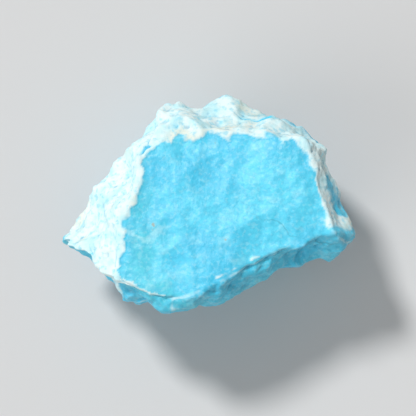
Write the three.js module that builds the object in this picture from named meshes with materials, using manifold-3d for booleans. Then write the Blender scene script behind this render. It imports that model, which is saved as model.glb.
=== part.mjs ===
// A raw turquoise nugget: one small angular fragment, broken on every side and unpolished.
//
// Millimetres, +Z up. The nugget stands on a flat break at z = 0. The origin is at that
// level, in the middle of the stone's bounding box. Its length runs along X.
//
// The body is the convex hull of a few hand-placed corners. Its faces are divided and
// made to wander a little, as breaks in a fine-grained stone are never quite flat, and
// then hollow breaks are cut out of it.

import * as THREE from 'three';
import { ConvexGeometry } from 'three/addons/geometries/ConvexGeometry.js';
import { ImprovedNoise } from 'three/addons/math/ImprovedNoise.js';
import { TessellateModifier } from 'three/addons/modifiers/TessellateModifier.js';
import { mergeVertices, toCreasedNormals } from 'three/addons/utils/BufferGeometryUtils.js';
import Module from 'manifold-3d';

// Driving dimensions of the finished stone.
const LENGTH = 6.7;
const WIDTH = 5.1;
const HEIGHT = 4.0;

// The top break is one nearly flat face: its height in the middle, and how far it
// climbs for each millimetre along X and Y.
const TOP_LEVEL = 3.8;
const TOP_CLIMB = { x: 0.05, y: -0.04 };

// Corners of the top break, clockwise from the left: x, y.
const TOP_CORNERS = [
  [-1.72, -0.53],
  [-1.23, 1.1],
  [0.31, 1.45],
  [2.3, 1.15],
  [2.77, -0.79],
  [-0.66, -2.24],
  [-1.89, -1.76],
];

// Corners of the widest level, clockwise from the left tip: x, y, z.
const GIRDLE_CORNERS = [
  [-3.3, -0.88, 2.2],
  [-0.75, 2.16, 3.0],
  [0.57, 2.55, 2.5],
  [2.82, 1.15, 2.9],
  [3.3, -1.1, 3.2],
  [-0.75, -2.55, 3.3],
  [-1.63, -2.33, 2.9],
];

// Corners part of the way down the flanks: x, y, z.
const FLANK_CORNERS = [
  [-2.6, -0.65, 0.95],
  [-1.6, 0.95, 1.2],
  [0.95, 2.25, 0.8],
  [3.0, -0.45, 1.2],
  [-1.1, -2.15, 1.3],
];

// Corners of the flat break that the stone stands on: x, y.
const FOOT_CORNERS = [
  [-1.5, -1.5],
  [-1.65, 0.35],
  [-0.1, 1.85],
  [1.8, 1.3],
  [2.7, -0.3],
  [2.25, -1.05],
  [0.2, -1.8],
];

// The wander of the breaks, which are never quite flat and whose edges are never quite
// straight: each layer's wavelength and reach.
const WANDER = [
  { wavelength: 2.4, reach: 0.12 },
  { wavelength: 0.9, reach: 0.04 },
];
const WANDER_STARTS_ABOVE = 0.25; // the foot stays flat up to here
const LONGEST_FACET = 0.42;

// Shell-shaped hollows that blows leave: a place near the surface, the way out of the
// stone there, the hollow's level width and its height, its turn in degrees about the
// way out, and its depth. The large ones dish a whole side.
const HOLLOWS = [
  // Front wall, and its left end.
  { at: [1.3, -1.9, 1.4], out: [0.3, -0.93, -0.1], wide: 4.2, high: 3.2, turn: 25, deep: 0.3 },
  { at: [-0.5, -2.2, 2.0], out: [0, -0.97, 0], wide: 1.8, high: 3.2, turn: -20, deep: 0.2 },
  // Right flank, and the right end of the back wall.
  { at: [3.0, -0.7, 0.8], out: [0.9, 0, -0.3], wide: 2.6, high: 3.8, turn: 15, deep: 0.3 },
  { at: [2.7, 0.5, 2.7], out: [0.88, 0.45, 0.2], wide: 2.8, high: 1.6, turn: 30, deep: 0.08 },
  // Back walls.
  { at: [1.2, 1.9, 1.0], out: [0.45, 0.85, 0], wide: 3.8, high: 2.6, turn: -25, deep: 0.3 },
  { at: [-1.4, 1.3, 1.6], out: [-0.75, 0.63, -0.2], wide: 3.4, high: 2.6, turn: 20, deep: 0.26 },
  // Under the left tip, and the wall in front of it.
  { at: [-2.6, -0.5, 1.2], out: [-0.75, -0.1, -0.6], wide: 2.0, high: 2.6, turn: 0, deep: 0.24 },
  { at: [-2.1, -1.6, 1.6], out: [-0.65, -0.75, 0], wide: 1.8, high: 3.0, turn: 25, deep: 0.22 },
  // Left slope, and the rim of the top break at the back.
  { at: [-2.6, 0.1, 2.6], out: [-0.72, 0.3, 0.62], wide: 2.8, high: 1.9, turn: -20, deep: 0.12 },
  { at: [1.35, 2.0, 2.7], out: [0.35, 0.8, 0.5], wide: 2.4, high: 1.0, turn: 20, deep: 0.12 },
  // Right corner.
  { at: [3.25, -1.1, 2.7], out: [0.85, -0.5, 0], wide: 0.7, high: 1.5, turn: -10, deep: 0.09 },
];
const HOLLOW_SIDES = 24;
const HOLLOW_RINGS = 7;
const HOLLOW_MARGIN = 1.4; // how far the cutter reaches past the hollow's own edge
const HOLLOW_WANDER = { wavelength: 0.45, reach: 0.45 }; // shares of its size and depth
const WELD = 1e-4;

const wasm = await Module();
wasm.setup();
const noise = new ImprovedNoise();

// The closed solid of a geometry, with only its places kept.
function toSolid(geometry) {
  const bare = geometry.clone();
  bare.deleteAttribute('normal');
  bare.deleteAttribute('uv');
  const merged = mergeVertices(bare, WELD);
  return new wasm.Manifold(new wasm.Mesh({
    numProp: 3,
    vertProperties: new Float32Array(merged.attributes.position.array),
    triVerts: new Uint32Array(merged.index.array),
  }));
}

// The geometry of a closed solid.
function toGeometry(solid) {
  const mesh = solid.getMesh();
  const geometry = new THREE.BufferGeometry();
  geometry.setAttribute('position', new THREE.BufferAttribute(mesh.vertProperties, 3));
  geometry.setIndex(new THREE.BufferAttribute(mesh.triVerts, 1));
  return geometry;
}

// Shifts every vertex by a smooth noise along each axis. The share of the shift that
// a vertex takes is worked out from its place.
function wander(geometry, wavelength, reach, shareAt) {
  const { position } = geometry.attributes;
  const place = new THREE.Vector3();
  for (let i = 0; i < position.count; i += 1) {
    place.fromBufferAttribute(position, i);
    const [x, y, z] = place.clone().divideScalar(wavelength).toArray();
    const shift = new THREE.Vector3(
      noise.noise(x, y, z),
      noise.noise(y + 11.3, z + 5.7, x + 2.9),
      noise.noise(z + 23.1, x + 8.4, y + 17.6),
    );
    place.addScaledVector(shift, reach * shareAt(place));
    position.setXYZ(i, place.x, place.y, place.z);
  }
}

// The block before the hollows: the hull of all the corners, divided into small facets.
function makeBlock() {
  const top = TOP_CORNERS.map(
    ([x, y]) => new THREE.Vector3(x, y, TOP_LEVEL + TOP_CLIMB.x * x + TOP_CLIMB.y * y),
  );
  const sides = [...GIRDLE_CORNERS, ...FLANK_CORNERS].map((corner) => new THREE.Vector3(...corner));
  const foot = FOOT_CORNERS.map(([x, y]) => new THREE.Vector3(x, y, 0));
  const hull = new ConvexGeometry([...top, ...sides, ...foot]);
  const divided = new TessellateModifier(LONGEST_FACET, 24).modify(hull);
  divided.deleteAttribute('normal');
  const block = mergeVertices(divided, WELD);
  const aboveFoot = ({ z }) => THREE.MathUtils.smoothstep(z, 0, WANDER_STARTS_ABOVE);
  WANDER.forEach(({ wavelength, reach }) => wander(block, wavelength, reach, aboveFoot));
  return new THREE.Mesh(block);
}

// The solid that a hollow takes away: a shallow bowl, closed above the surface. It
// opens along +Y until it is turned to face out of the stone.
function makeHollow({ at, out, wide, high, turn, deep }, block) {
  const outward = new THREE.Vector3(...out).normalize();
  const start = new THREE.Vector3(...at).addScaledVector(outward, LENGTH);
  const ray = new THREE.Raycaster(start, outward.clone().negate());
  const [hit] = ray.intersectObject(block);
  const size = Math.max(wide, high);
  const profile = [];
  for (let ring = 0; ring <= HOLLOW_RINGS; ring += 1) {
    const radius = (HOLLOW_MARGIN * ring) / HOLLOW_RINGS;
    profile.push(new THREE.Vector2(radius, deep * (radius ** 2 - 1)));
  }
  profile.push(new THREE.Vector2(HOLLOW_MARGIN, size));
  profile.push(new THREE.Vector2(0, size));
  const bowl = new THREE.LatheGeometry(profile, HOLLOW_SIDES);
  bowl.scale(wide / 2, 1, high / 2);
  bowl.rotateY(THREE.MathUtils.degToRad(turn));
  const level = new THREE.Vector3(0, 0, 1).cross(outward).normalize();
  const steep = new THREE.Vector3().crossVectors(level, outward);
  bowl.applyMatrix4(new THREE.Matrix4().makeBasis(level, outward, steep).setPosition(hit.point));
  wander(bowl, HOLLOW_WANDER.wavelength * size, HOLLOW_WANDER.reach * deep, () => 1);
  return toSolid(bowl);
}

// Brings the stone to its driving dimensions, stood on z = 0 about the Z axis.
function fitToSize(geometry) {
  geometry.computeBoundingBox();
  const size = geometry.boundingBox.getSize(new THREE.Vector3());
  const middle = geometry.boundingBox.getCenter(new THREE.Vector3());
  geometry.translate(-middle.x, -middle.y, -geometry.boundingBox.min.z);
  geometry.scale(LENGTH / size.x, WIDTH / size.y, HEIGHT / size.z);
  return geometry;
}

function makeNugget() {
  const block = makeBlock();
  let solid = toSolid(block.geometry);
  HOLLOWS.forEach((hollow) => {
    solid = solid.subtract(makeHollow(hollow, block));
  });
  const geometry = toCreasedNormals(fitToSize(toGeometry(solid)));
  const material = new THREE.MeshStandardMaterial({ color: 0x6cddf9, roughness: 0.75, metalness: 0 });
  const mesh = new THREE.Mesh(geometry, material);
  mesh.name = 'turquoise_nugget';
  return mesh;
}

const nugget = new THREE.Group();
nugget.add(makeNugget());

export default nugget;
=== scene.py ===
"""A raw turquoise nugget: one small angular fragment, resting on its flat foot.

The stone is worked in millimetres, because its detail is a few hundredths of one, and is
brought to metres at the end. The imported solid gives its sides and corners. A fine skin
over it gets what breaking leaves on stone of this grain: broad and small breaks, nicked
edges, a chalky rind, grain and pits.
"""

import math
from functools import partial

import bmesh
import bpy
from mathutils import Matrix, Vector


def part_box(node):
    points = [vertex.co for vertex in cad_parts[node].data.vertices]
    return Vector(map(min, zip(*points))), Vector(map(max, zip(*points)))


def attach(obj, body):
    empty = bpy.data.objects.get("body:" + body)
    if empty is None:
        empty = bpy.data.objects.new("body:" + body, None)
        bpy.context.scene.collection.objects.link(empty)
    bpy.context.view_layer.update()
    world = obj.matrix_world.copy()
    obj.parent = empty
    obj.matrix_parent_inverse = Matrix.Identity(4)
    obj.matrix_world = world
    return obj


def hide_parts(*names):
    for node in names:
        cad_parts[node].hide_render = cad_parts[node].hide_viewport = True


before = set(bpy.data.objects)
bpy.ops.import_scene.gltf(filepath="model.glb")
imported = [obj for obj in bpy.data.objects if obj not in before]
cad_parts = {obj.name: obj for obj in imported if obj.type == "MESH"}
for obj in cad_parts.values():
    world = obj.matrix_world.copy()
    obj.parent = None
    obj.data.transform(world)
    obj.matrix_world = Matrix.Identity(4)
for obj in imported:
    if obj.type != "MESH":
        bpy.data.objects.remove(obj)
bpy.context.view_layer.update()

NODE = "turquoise_nugget"
MM = 0.001

# The skin. Widths, depths, heights and spacings are millimetres, a slope is the depth for
# each millimetre of width, and a reach is rounds of blur.
SKIN_CELL = 0.036
WELD = 0.0005
SKIN_SIZES = {
    "Seed": 4.2,  # shifts every pattern
    "Foot Margin": 0.2,  # from here up, a cut may move the skin up or down in full
    "Softening": 2,  # rounds of blur, which wear the edges
    "Edge Reach": 12,  # tells an edge from a face
    "Nick Reach": 40,  # tells how far nicks reach in from an edge
    "Side Reach": 120,  # tells one side of the stone from another
    "Cut Reach": 140,  # leads a cut into the stone, past its edges
    "Crest Reach": 6,  # tells the small crests from the hollows
    "Corner Wear": 0.6,  # a share of the way to the blurred place, at the corners
    "Shell Width": 1.5,
    "Shell Slope": 0.22,
    "Flake Width": 0.66,
    "Flake Slope": 0.23,
    "Scale Width": 0.18,
    "Scale Slope": 0.22,
    "Top Share": 0.25,  # how much of the breaks' depth the flat top gets
    "Nick Spacing": 0.9,
    "Nick Depth": 0.2,
    "Chip Spacing": 0.36,
    "Chip Depth": 0.08,
    "Rind Thickness": 0.03,
    "Grain Width": 0.1,  # coarser than the real grain, so that it shows
    "Grain Height": 0.02,
    "Pit Spacing": 0.42,
    "Pit Depth": 0.05,
}

# Hollows with round rims: the radius as a share of the spacing, and how many cells in one
# have a hollow.
NICK_SHAPE = 0.55, 0.6
CHIP_SHAPE = 0.55, 0.75
PIT_SHAPE = 0.17, 0.6
HOLLOW_WAVER = 0.5  # how far rims stray from a circle, as a share of the spacing

# Breaks side by side: the turn of each kind of flat-sided one, in radians.
FLAKE_TURN = (0.5, 0.3, 0.2)
FACET_TURN = (0.2, 1.0, 0.9)
SCALE_TURN = (0.9, 0.2, 0.6)
NO_TURN = (0.0, 0.0, 0.0)
BREAK_WAVER = 0.3  # how far ridges stray from a line, as a share of the width
BREAK_MIDDLE = 0.75  # a break's depth at its middle, as a share of its width times its slope

# Noises on the skin: waves in a millimetre, and detail.
CHIPPED_NOISE = 0.9, 2.0
HACKLY_NOISE = 0.67, 1.0
RIM_NOISE = 2.4, 4.0
RAGGED_NOISE = 1.0, 5.0
WAVER_DETAIL = 3.0
GRAIN_DETAIL = 4.0

# Where marks begin, and where they are whole. An upward slope is 1 where the stone faces
# straight up, 0 on a wall, and less on an undercut.
WORN_HEIGHTS = 0.015, 0.05
NICKED_HEIGHTS = 0.01, 0.05
CHIPPED_VALUES = 0.42, 0.56
HACKLY_VALUES = 0.4, 0.6
FOOT_LEVEL = 0.02  # up to here, no cut moves the skin up or down
SIDE_SLOPES = 0.95, 0.8  # upward slopes of the flat top, and of the sides
RIND_UP_FROM = -0.6, 0.4  # upward slopes
RIND_DOWN_FROM = 0.975, 0.91  # upward slopes
RIND_TOWARD_LIGHT = 1.0, -1.2, 0.8, 1.0  # two places along X, and the rind's shares there: more towards the main light, as a painted highlight
SHADED_WAY = (0.5, -0.87, 0.0)  # the walls that face this way, away from the main light, keep no pale rind: painted shade
RIND_OFF_SHADED = 0.4, 0.25  # how much the stone faces that way
RIM_STRAY = 1.0, 0.96, 0.0, 0.35  # two upward slopes, and the rim's shares of noise there
RAGGED_REACH = 2.6  # how far the noise takes the rind's cover up and down in all
BARED_REACH = 1.0  # how much of the cover the deepest nick takes off
RIND_LEFT = 0.4, 0.6  # the cover, with that noise and the nicks
RIND_THICK = 0.05, 0.8  # the cover alone
LEAST_ROUGH = 0.3  # how much of the grain and pits shows where there is no rind

MATHS = "ShaderNodeMath"
VECTOR = "ShaderNodeVectorMath"
PARTS = "ShaderNodeSeparateXYZ"
RANGE = "ShaderNodeMapRange"
NOISE = "ShaderNodeTexNoise"
CELLS = "ShaderNodeTexVoronoi"
TURN = "ShaderNodeVectorRotate"
BLEND = "ShaderNodeMix"
READ = "ShaderNodeAttribute"
BLUR = "GeometryNodeBlurAttribute"
MOVE = "GeometryNodeSetPosition"
MARK = "GeometryNodeStoreNamedAttribute"
SMOOTH = {"interpolation_type": "SMOOTHSTEP"}

# The stone's colours. Each layer over one: the width of its pattern in millimetres, its
# detail, the noise values that it comes in between, its greatest share and its colour.
BODY = "#38c3e8"
BODY_LAYERS = (
    (1.6, 4.0, 0.35, 0.65, 1.0, "#55d6f2"),  # paler clouds
    (2.1, 3.0, 0.52, 0.68, 0.4, "#58cfcd"),  # greener patches
    (0.34, 5.0, 0.54, 0.68, 0.3, "#9fe4ee"),  # pale flecks
    # Its grain and the powder in it are too fine to show, so both are drawn ten times as
    # coarse.
    (0.1, 3.0, 0.3, 0.7, 0.45, "#35aed4"),
    (0.09, 6.0, 0.5, 0.66, 0.2, "#b8ebf2"),
    (0.34, 3.0, 0.71, 0.77, 0.6, "#a98f62"),  # a few rusty specks
)
# The chalk's colour, which on the sides that face the main light is also a painted highlight.
CHALK_AND_HIGHLIGHT = "#bfe9ef"
CHALK_AND_HIGHLIGHT_LAYERS = (
    (0.32, 5.0, 0.35, 0.6, 1.0, "#def1f1"),  # whiter blotches
    (0.9, 5.0, 0.5, 0.68, 0.5, "#dfd9c0"),  # buff stains of the host rock
    (0.12, 3.0, 0.5, 0.7, 0.6, "#7fd0e6"),  # blue specks, where it is worn through
)
# The pale of bruised edges, also used for the painted highlight on crests.
BRUISE_AND_HIGHLIGHT = "#c4e9f1"
# The deeper blue of the painted shade in hollows.
HOLLOW_SHADE_BLUE = "#2f97bf"

# Healed cracks, some paler than the stone and some darker. Each kind: how far apart they
# are and how wide, in millimetres, their greatest share and their colour.
CRACKS = ((2.3, 0.06, 0.45, "#b5eaf2"), (3.1, 0.04, 0.6, "#2c93a8"))
CRACK_BEND = 0.7, 4.0, 0.9  # the width of the noise that bends them, its detail and reach
CRACK_PATCHES = 2.0, 0.45, 0.6  # they come and go: the noise's detail and values

# What edges, crests and hollows look like: pale bruises on edges, a painted highlight on
# crests and painted shade in hollows. Heights are in millimetres, above the neighbourhood.
BRUISED_HEIGHTS = 0.008, 0.022
BRUISE_PATCHES = 0.6, 5.0, 0.45, 0.6  # width in millimetres, detail and noise values
CREST_HIGHLIGHT = 0.006, 0.03, 0.0, 0.35  # two heights, and the shares of the painted highlight there
HOLLOW_SHADE = -0.003, -0.02, 0.0, 0.5  # two heights, and the shares of the painted shade there
ROUGHNESS = 0.5, 0.9  # of the waxy breaks, and of chalk
TURQUOISE_IOR = 1.61
BUMP_GRAIN = 0.08, 6.0  # its width, ten times the real one so that it shows, and its detail
BUMP_HEIGHT = 0.02
BUMP_STRENGTH = 0.6

FLOOR_SIZE = 2.0  # metres
FLOOR_FINISH = {"Base Color": "#cecece", "Roughness": 0.9, "Specular IOR Level": 0.1}
TENT_LIGHT = 0.36
TENT_SEEN = 0.689  # as bright as the lit floor, so that no horizon shows

# The lights: azimuth, elevation, strength, and how wide each looks from the stone, with
# angles in degrees. Azimuth 0 is to the right, and 90 is behind the stone.
LIGHTS = {"main light": (130, 55, 2.35, 10), "fill light": (215, 30, 0.9, 50)}
LIGHT_DISTANCE = 0.1  # metres, and only where it stands: its light is that of a far sun

CAMERA_ELEVATION = 84.0
CAMERA_LENS = 300.0  # long, so that the near end of the stone looks no larger than the far one
CAMERA_CLIP = 0.001, 10.0  # metres
FRAME_FILL = 0.7  # how much of the view's width the stone's length takes


def linear(hex_colour):
    """The linear colour of an sRGB hex value."""
    channels = [int(hex_colour[i : i + 2], 16) / 255 for i in (1, 3, 5)]
    return [c / 12.92 if c <= 0.04045 else ((c + 0.055) / 1.055) ** 2.4 for c in channels] + [1.0]


def add(tree, kind, links=(), **settings):
    """Adds a node with its settings, and gives its inputs their links, in order or by
    name. A link is a socket, a node, whose first output it takes, or a constant."""
    node = tree.nodes.new(kind)
    for name, value in settings.items():
        setattr(node, name, value)
    sockets = [socket for socket in node.inputs if socket.enabled]
    if isinstance(links, dict):
        sockets = [node.inputs[name] for name in links]
        links = links.values()
    for socket, value in zip(sockets, links):
        if isinstance(value, bpy.types.Node):
            value = next(output for output in value.outputs if output.enabled)
        if isinstance(value, bpy.types.NodeSocket):
            tree.links.new(value, socket)
        else:
            socket.default_value = value
    return node


def patches(node, place, waves, detail, low, high, most=1.0):
    """A share that comes and goes: none below the low noise value, and the most above the
    high one."""
    pattern = node(NOISE, (place, waves, detail))
    return node(RANGE, (pattern, low, high, 0.0, most), **SMOOTH)


def wavered(node, place, width, share):
    """A place pushed about by a noise, so that no border in a pattern runs straight."""
    waves = node(MATHS, (1.0, width), operation="DIVIDE")
    waver = node(NOISE, (place, waves, WAVER_DETAIL))
    push = node(VECTOR, (waver.outputs["Color"], (0.5, 0.5, 0.5)), operation="SUBTRACT")
    reach = node(MATHS, (width, share), operation="MULTIPLY")
    return node(VECTOR, (push, reach, place), operation="MULTIPLY_ADD")


def round_hollows(node, place, spacing, radius, chance):
    """Round hollows with crisp rims: at most 1 at the middle, and none past the radius,
    which is a share of the spacing. Only a chance of the cells has one."""
    where = wavered(node, place, spacing, HOLLOW_WAVER)
    cell = node(CELLS, (where, node(MATHS, (1.0, spacing), operation="DIVIDE"))).outputs
    away = node(MATHS, (cell["Distance"], radius), operation="DIVIDE")
    bowl = node(MATHS, (1.0, node(MATHS, (away, 2.0), operation="POWER")), operation="SUBTRACT")
    luck = node(PARTS, (cell["Color"],)).outputs
    kept = node(MATHS, (luck["X"], chance), operation="LESS_THAN")
    share = node(MATHS, (kept, luck["Y"]), operation="MULTIPLY")
    return node(MATHS, (node(MATHS, (bowl, 0.0), operation="MAXIMUM"), share), operation="MULTIPLY")


def small_breaks(node, place, width, slope, metric, turn):
    """How deep small breaks that lie side by side cut, with a crisp ridge wherever two of
    them meet. They are shells in the straight metric, and flat-sided in the city-block one."""
    bent = wavered(node, place, width, BREAK_WAVER)
    where = node(TURN, {"Vector": bent, "Rotation": turn}, rotation_type="EULER_XYZ")
    cell = node(CELLS, (where, node(MATHS, (1.0, width), operation="DIVIDE")), distance=metric)
    inside = node(MATHS, (BREAK_MIDDLE, cell.outputs["Distance"]), operation="SUBTRACT")
    steep = node(MATHS, (width, slope), operation="MULTIPLY")
    return node(MATHS, (inside, steep), operation="MULTIPLY")


def height_above(node, place, normal, reach):
    """How far each point stands out of its neighbourhood."""
    around = node(BLUR, (place, reach), data_type="FLOAT_VECTOR")
    beyond = node(VECTOR, (place, around), operation="SUBTRACT")
    return node(VECTOR, (normal, beyond), operation="DOT_PRODUCT").outputs["Value"]


def way_out(node, normal, reach):
    """The way that each point's neighbourhood faces."""
    around = node(BLUR, (normal, reach), data_type="FLOAT_VECTOR")
    return node(VECTOR, (around,), operation="NORMALIZE")


def skin_tree(material):
    """The Geometry Nodes tree that gives the skin its relief and marks its edges."""
    tree = bpy.data.node_groups.new("broken stone skin", "GeometryNodeTree")
    face = tree.interface
    face.new_socket("Geometry", in_out="INPUT", socket_type="NodeSocketGeometry")
    for name, value in SKIN_SIZES.items():
        kind = "NodeSocketInt" if isinstance(value, int) else "NodeSocketFloat"
        face.new_socket(name, in_out="INPUT", socket_type=kind)
    face.new_socket("Geometry", in_out="OUTPUT", socket_type="NodeSocketGeometry")
    node = partial(add, tree)
    given = node("NodeGroupInput").outputs

    # Edges are worn a little, and corners more. How far each point stands out of its
    # neighbourhood tells a corner and an edge from a face.
    place = node("GeometryNodeInputPosition")
    normal = node("GeometryNodeInputNormal").outputs["Normal"]
    worn = node(BLUR, (place, given["Softening"]), data_type="FLOAT_VECTOR")
    settle = node(VECTOR, (worn, place), operation="SUBTRACT")
    soft = node(MOVE, {"Geometry": given["Geometry"], "Offset": settle})
    near = node(BLUR, (place, given["Edge Reach"]), data_type="FLOAT_VECTOR")
    back = node(VECTOR, (near, place), operation="SUBTRACT")
    stand_out = height_above(node, place, normal, given["Edge Reach"])
    wear = node(RANGE, (stand_out, *WORN_HEIGHTS, 0.0, given["Corner Wear"]), **SMOOTH)
    rub = node(VECTOR, {"Vector": back, "Scale": wear}, operation="SCALE")
    rubbed = node(MOVE, {"Geometry": soft, "Offset": rub})
    edged = node(MARK, {"Geometry": rubbed, "Name": "edge", "Value": stand_out}, domain="POINT")

    # Nicks and chips are broken out along the edges.
    where = node(VECTOR, (place, given["Seed"]), operation="ADD")
    proud = height_above(node, place, normal, given["Nick Reach"])
    at_edge = node(RANGE, (proud, *NICKED_HEIGHTS), **SMOOTH)
    nicks = round_hollows(node, where, given["Nick Spacing"], *NICK_SHAPE)
    chips = round_hollows(node, where, given["Chip Spacing"], *CHIP_SHAPE)
    chipped = patches(node, where, *CHIPPED_NOISE, *CHIPPED_VALUES)
    chips = node(MATHS, (chips, chipped), operation="MULTIPLY")
    bared = node(MATHS, (node(MATHS, (nicks, chips), operation="ADD"), at_edge), operation="MULTIPLY")

    # The pale rind is left on the sloping shoulders, most at the left and none in front, so that it
    # sits on the sides that face the main light: partly chalky rind and partly a painted highlight,
    # with painted shade where the walls face away. Its borders are ragged, and nicks bare the stone
    # under it.
    at = node(PARTS, (place,)).outputs
    slope = way_out(node, normal, given["Side Reach"])
    upward = node(PARTS, (slope,)).outputs["Z"]
    shadeward = node(VECTOR, (slope, SHADED_WAY), operation="DOT_PRODUCT").outputs["Value"]
    stray = node(MATHS, (node(NOISE, (where, *RIM_NOISE)), 0.5), operation="SUBTRACT")
    near_rim = node(RANGE, (upward, *RIM_STRAY), **SMOOTH)
    upper_edge = node(MATHS, (stray, near_rim, upward), operation="MULTIPLY_ADD")
    cover = node(RANGE, (upward, *RIND_UP_FROM), **SMOOTH)
    for limit in (
        node(RANGE, (upper_edge, *RIND_DOWN_FROM), **SMOOTH),
        node(RANGE, (at["X"], *RIND_TOWARD_LIGHT), **SMOOTH),
        node(RANGE, (shadeward, *RIND_OFF_SHADED), **SMOOTH),
    ):
        cover = node(MATHS, (cover, limit), operation="MULTIPLY")
    spread = RAGGED_REACH, -RAGGED_REACH / 2
    ragged = node(MATHS, (node(NOISE, (where, *RAGGED_NOISE)), *spread), operation="MULTIPLY_ADD")
    ragged = node(MATHS, (cover, ragged), operation="ADD")
    ragged = node(MATHS, (bared, -BARED_REACH, ragged), operation="MULTIPLY_ADD")
    left_on = node(RANGE, (ragged, *RIND_LEFT), **SMOOTH)
    thick = node(RANGE, (cover, *RIND_THICK), **SMOOTH)
    rind = node(MATHS, (left_on, thick), operation="MULTIPLY")
    marked = node(MARK, {"Geometry": edged, "Name": "rind", "Value": rind}, domain="POINT")

    # All the cuts add up to the depth. Each kind of mark: its shape, and what that is
    # multiplied by, which is a share that comes and goes along the skin, or a depth, or both.
    side = node(RANGE, (upward, *SIDE_SLOPES, given["Top Share"], 1.0), **SMOOTH)
    hackly = patches(node, where, *HACKLY_NOISE, *HACKLY_VALUES)
    patchy_side = node(MATHS, (side, hackly), operation="MULTIPLY")
    rough = node(RANGE, (rind, 0.0, 1.0, LEAST_ROUGH, 1.0), **SMOOTH)
    lost_rind = node(MATHS, (1.0, rind), operation="SUBTRACT")
    fine = node(MATHS, (1.0, given["Grain Width"]), operation="DIVIDE")
    shell = given["Shell Width"], given["Shell Slope"], "EUCLIDEAN", NO_TURN
    flake = given["Flake Width"], given["Flake Slope"], "MANHATTAN", FLAKE_TURN
    facet = given["Flake Width"], given["Flake Slope"], "MANHATTAN", FACET_TURN
    scale = given["Scale Width"], given["Scale Slope"], "MANHATTAN", SCALE_TURN
    depth = 0.0
    for cut, share in (
        (small_breaks(node, where, *shell), side),
        (small_breaks(node, where, *flake), side),
        (small_breaks(node, where, *facet), side),
        (small_breaks(node, where, *scale), patchy_side),
        (nicks, (at_edge, given["Nick Depth"])),
        (chips, (at_edge, given["Chip Depth"])),
        (round_hollows(node, where, given["Pit Spacing"], *PIT_SHAPE), (rough, given["Pit Depth"])),
        (node(NOISE, (where, fine, GRAIN_DETAIL)), (rough, given["Grain Height"])),
        (lost_rind, given["Rind Thickness"]),
    ):
        if isinstance(share, tuple):
            share = node(MATHS, share, operation="MULTIPLY")
        depth = node(MATHS, (cut, share, depth), operation="MULTIPLY_ADD")

    # The cuts go in along the way that the whole side faces, so that they don't fold over
    # at an edge. The foot stays at its level.
    inward = node(MATHS, (depth, -1.0), operation="MULTIPLY")
    out = way_out(node, normal, given["Cut Reach"])
    cut = node(VECTOR, {"Vector": out, "Scale": inward}, operation="SCALE")
    off_foot = node(RANGE, (at["Z"], FOOT_LEVEL, given["Foot Margin"]), **SMOOTH)
    level = node("ShaderNodeCombineXYZ", (1.0, 1.0, off_foot))
    cut = node(VECTOR, (cut, level), operation="MULTIPLY")
    relieved = node(MOVE, {"Geometry": marked, "Offset": cut})

    # The small crests and hollows of the finished skin.
    crest = height_above(node, place, normal, given["Crest Reach"])
    crested = node(MARK, {"Geometry": relieved, "Name": "crest", "Value": crest}, domain="POINT")
    smooth = node("GeometryNodeSetShadeSmooth", (crested,))
    coated = node("GeometryNodeSetMaterial", {"Geometry": smooth, "Material": material})
    node("NodeGroupOutput", (node("GeometryNodeRealizeInstances", (coated,)),))
    return tree


def millimetre_copy(name):
    """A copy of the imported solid, in millimetres, with its loose triangles joined up."""
    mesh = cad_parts[NODE].data.copy()
    mesh.transform(Matrix.Scale(1 / MM, 4))
    welded = bmesh.new()
    welded.from_mesh(mesh)
    bmesh.ops.remove_doubles(welded, verts=welded.verts, dist=WELD)
    welded.to_mesh(mesh)
    welded.free()
    copy = bpy.data.objects.new(name, mesh)
    bpy.context.scene.collection.objects.link(copy)
    return copy


def fit_to_box(mesh, low, high):
    """Brings a mesh in millimetres to the box that has these corners, in metres. Breaking
    takes a little off every side of the skin, and this gives it back."""
    places = [vertex.co for vertex in mesh.vertices]
    least = Vector([min(place[axis] for place in places) for axis in range(3)])
    most = Vector([max(place[axis] for place in places) for axis in range(3)])
    scale = [wanted / size for wanted, size in zip(high - low, most - least)]
    mesh.transform(Matrix.Translation(low) @ Matrix.Diagonal((*scale, 1.0)) @ Matrix.Translation(-least))


def make_stone(material):
    """The stone's skin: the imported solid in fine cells, with its relief."""
    solid = millimetre_copy("solid_in_mm")
    stone = millimetre_copy("nugget_skin")
    cells = stone.modifiers.new("cells", "REMESH")
    cells.mode = "VOXEL"
    cells.voxel_size = SKIN_CELL
    settle = stone.modifiers.new("settle on the solid", "SHRINKWRAP")
    settle.target = solid
    settle.wrap_method = "NEAREST_SURFACEPOINT"
    tree = skin_tree(material)
    relief = stone.modifiers.new("relief", "NODES")
    relief.node_group = tree
    for item in tree.interface.items_tree:
        if item.in_out == "INPUT" and item.name in SKIN_SIZES:
            relief[item.identifier] = SKIN_SIZES[item.name]

    depsgraph = bpy.context.evaluated_depsgraph_get()
    finished = bpy.data.meshes.new_from_object(
        stone.evaluated_get(depsgraph), preserve_all_data_layers=True, depsgraph=depsgraph
    )
    stone.modifiers.clear()
    bpy.data.objects.remove(solid)
    fit_to_box(finished, *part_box(NODE))
    stone.data = finished
    return stone


def layered(node, place, colour, layers):
    """A colour with its layers over it, each in patches."""
    for width, detail, low, high, most, over in layers:
        share = patches(node, place, 1 / (width * MM), detail, low, high, most)
        colour = node(BLEND, (share, colour, linear(over)), data_type="RGBA")
    return colour


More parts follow.
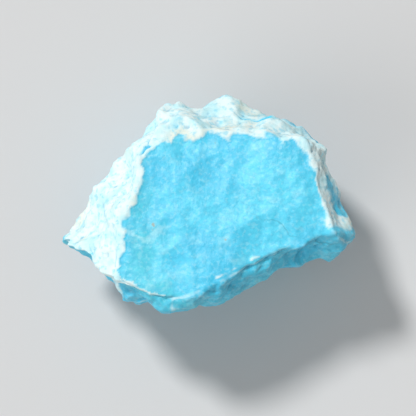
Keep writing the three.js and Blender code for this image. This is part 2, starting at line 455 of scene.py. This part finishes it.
def raw_turquoise():
    """Raw turquoise, broken and unpolished: waxy sky blue, chalky on its rind and edges, with a painted
    highlight on its lit side and crests and painted shade in its hollows.
    """
    material = bpy.data.materials.new("raw turquoise, broken")
    material.use_nodes = True
    tree = material.node_tree
    tree.nodes.clear()
    node = partial(add, tree)
    place = node("ShaderNodeTexCoord").outputs["Object"]
    edge = node(READ, attribute_name="edge").outputs["Fac"]
    rind = node(READ, attribute_name="rind").outputs["Fac"]
    crest = node(READ, attribute_name="crest").outputs["Fac"]

    body = layered(node, place, linear(BODY), BODY_LAYERS)
    bend_width, bend_detail, bend_reach = CRACK_BEND
    bend = node(NOISE, (place, 1 / (bend_width * MM), bend_detail)).outputs["Color"]
    bent = node(VECTOR, (bend, (bend_reach * MM,) * 3, place), operation="MULTIPLY_ADD")
    for spacing, width, most, colour in CRACKS:
        gap = node(CELLS, (bent, 1 / (spacing * MM)), feature="DISTANCE_TO_EDGE")
        line = node(RANGE, (gap, 0.0, width / spacing, most, 0.0), **SMOOTH)
        come_and_go = patches(node, place, 1 / (spacing * MM), *CRACK_PATCHES)
        share = node(MATHS, (line, come_and_go), operation="MULTIPLY")
        body = node(BLEND, (share, body, linear(colour)), data_type="RGBA")
    # The rind: chalk, and on the side that faces the main light a painted highlight as well.
    chalk_and_highlight = layered(node, place, linear(CHALK_AND_HIGHLIGHT), CHALK_AND_HIGHLIGHT_LAYERS)
    colour = node(BLEND, (rind, body, chalk_and_highlight), data_type="RGBA")

    # Edges are bruised pale here and there. Crests get a painted highlight in the same pale,
    # and hollows get painted shade in a deeper blue.
    patch_width, *patch_look = BRUISE_PATCHES
    patchy = patches(node, place, 1 / (patch_width * MM), *patch_look)
    bruised = node(RANGE, (edge, *BRUISED_HEIGHTS), **SMOOTH)
    bruise = node(MATHS, (bruised, patchy), operation="MULTIPLY")
    crest_highlight = node(RANGE, (crest, *CREST_HIGHLIGHT), **SMOOTH)
    bruise_and_highlight = node(MATHS, (bruise, crest_highlight), operation="MAXIMUM")
    colour = node(BLEND, (bruise_and_highlight, colour, linear(BRUISE_AND_HIGHLIGHT)), data_type="RGBA")
    hollow_shade = node(RANGE, (crest, *HOLLOW_SHADE), **SMOOTH)
    colour = node(BLEND, (hollow_shade, colour, linear(HOLLOW_SHADE_BLUE)), data_type="RGBA")

    dull = node(MATHS, (rind, bruise_and_highlight), operation="MAXIMUM")
    rough = node(RANGE, (dull, 0.0, 1.0, *ROUGHNESS), **SMOOTH)
    grain_width, grain_detail = BUMP_GRAIN
    grain = node(NOISE, (place, 1 / (grain_width * MM), grain_detail))
    relief = {"Height": grain, "Strength": BUMP_STRENGTH, "Distance": BUMP_HEIGHT * MM}
    bump = node("ShaderNodeBump", relief)
    finish = {"Base Color": colour, "Roughness": rough, "Normal": bump, "IOR": TURQUOISE_IOR}
    node("ShaderNodeOutputMaterial", (node("ShaderNodeBsdfPrincipled", finish),))
    return material


def make_floor():
    """A plain pale floor of matt paper, far wider than any view of it."""
    half = FLOOR_SIZE / 2
    corners = [(-half, -half, 0), (half, -half, 0), (half, half, 0), (-half, half, 0)]
    mesh = bpy.data.meshes.new("floor")
    mesh.from_pydata(corners, [], [(0, 1, 2, 3)])
    floor = bpy.data.objects.new("floor", mesh)
    bpy.context.scene.collection.objects.link(floor)
    material = bpy.data.materials.new("matt pale paper")
    material.use_nodes = True
    shader = material.node_tree.nodes["Principled BSDF"]
    for name, value in FLOOR_FINISH.items():
        shader.inputs[name].default_value = linear(value) if name == "Base Color" else value
    mesh.materials.append(material)


def aim(thing, place, target):
    """Puts a light or a camera at a place and turns it towards the target."""
    thing.location = place
    thing.rotation_mode = "QUATERNION"
    thing.rotation_quaternion = (target - place).to_track_quat("-Z", "Y")


def light_studio(target):
    """A bright white tent, with the main light from behind the stone and to its left."""
    world = bpy.data.worlds.new("white tent")
    bpy.context.scene.world = world
    world.use_nodes = True
    tree = world.node_tree
    tree.nodes.clear()
    seen = add(tree, "ShaderNodeLightPath").outputs["Is Camera Ray"]
    strength = add(tree, BLEND, (seen, TENT_LIGHT, TENT_SEEN))
    tent = add(tree, "ShaderNodeBackground", (linear("#ffffff"), strength))
    add(tree, "ShaderNodeOutputWorld", (tent,))
    for name, (azimuth, elevation, strength, softness) in LIGHTS.items():
        light = bpy.data.lights.new(name, "SUN")
        light.energy = strength
        light.angle = math.radians(softness)
        sun = bpy.data.objects.new(name, light)
        bpy.context.scene.collection.objects.link(sun)
        turn, climb = math.radians(azimuth), math.radians(elevation)
        level = math.cos(climb)
        way = Vector((math.cos(turn) * level, math.sin(turn) * level, math.sin(climb)))
        aim(sun, target + way * LIGHT_DISTANCE, target)


def place_camera(low, high):
    """The camera, nearly overhead, as one looks down at a stone on a table."""
    centre = (low + high) / 2
    data = bpy.data.cameras.new("camera")
    data.lens = CAMERA_LENS
    data.clip_start, data.clip_end = CAMERA_CLIP
    camera = bpy.data.objects.new("camera", data)
    bpy.context.scene.collection.objects.link(camera)
    bpy.context.scene.camera = camera
    width_seen = (high.x - low.x) / FRAME_FILL
    distance = width_seen * CAMERA_LENS / data.sensor_width
    climb = math.radians(CAMERA_ELEVATION)
    aim(camera, centre + Vector((0, -math.cos(climb), math.sin(climb))) * distance, centre)


stone = make_stone(raw_turquoise())
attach(stone, "root")
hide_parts(NODE)

low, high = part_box(NODE)
make_floor()
light_studio((low + high) / 2)
place_camera(low, high)
bpy.context.scene.view_settings.view_transform = "Standard"
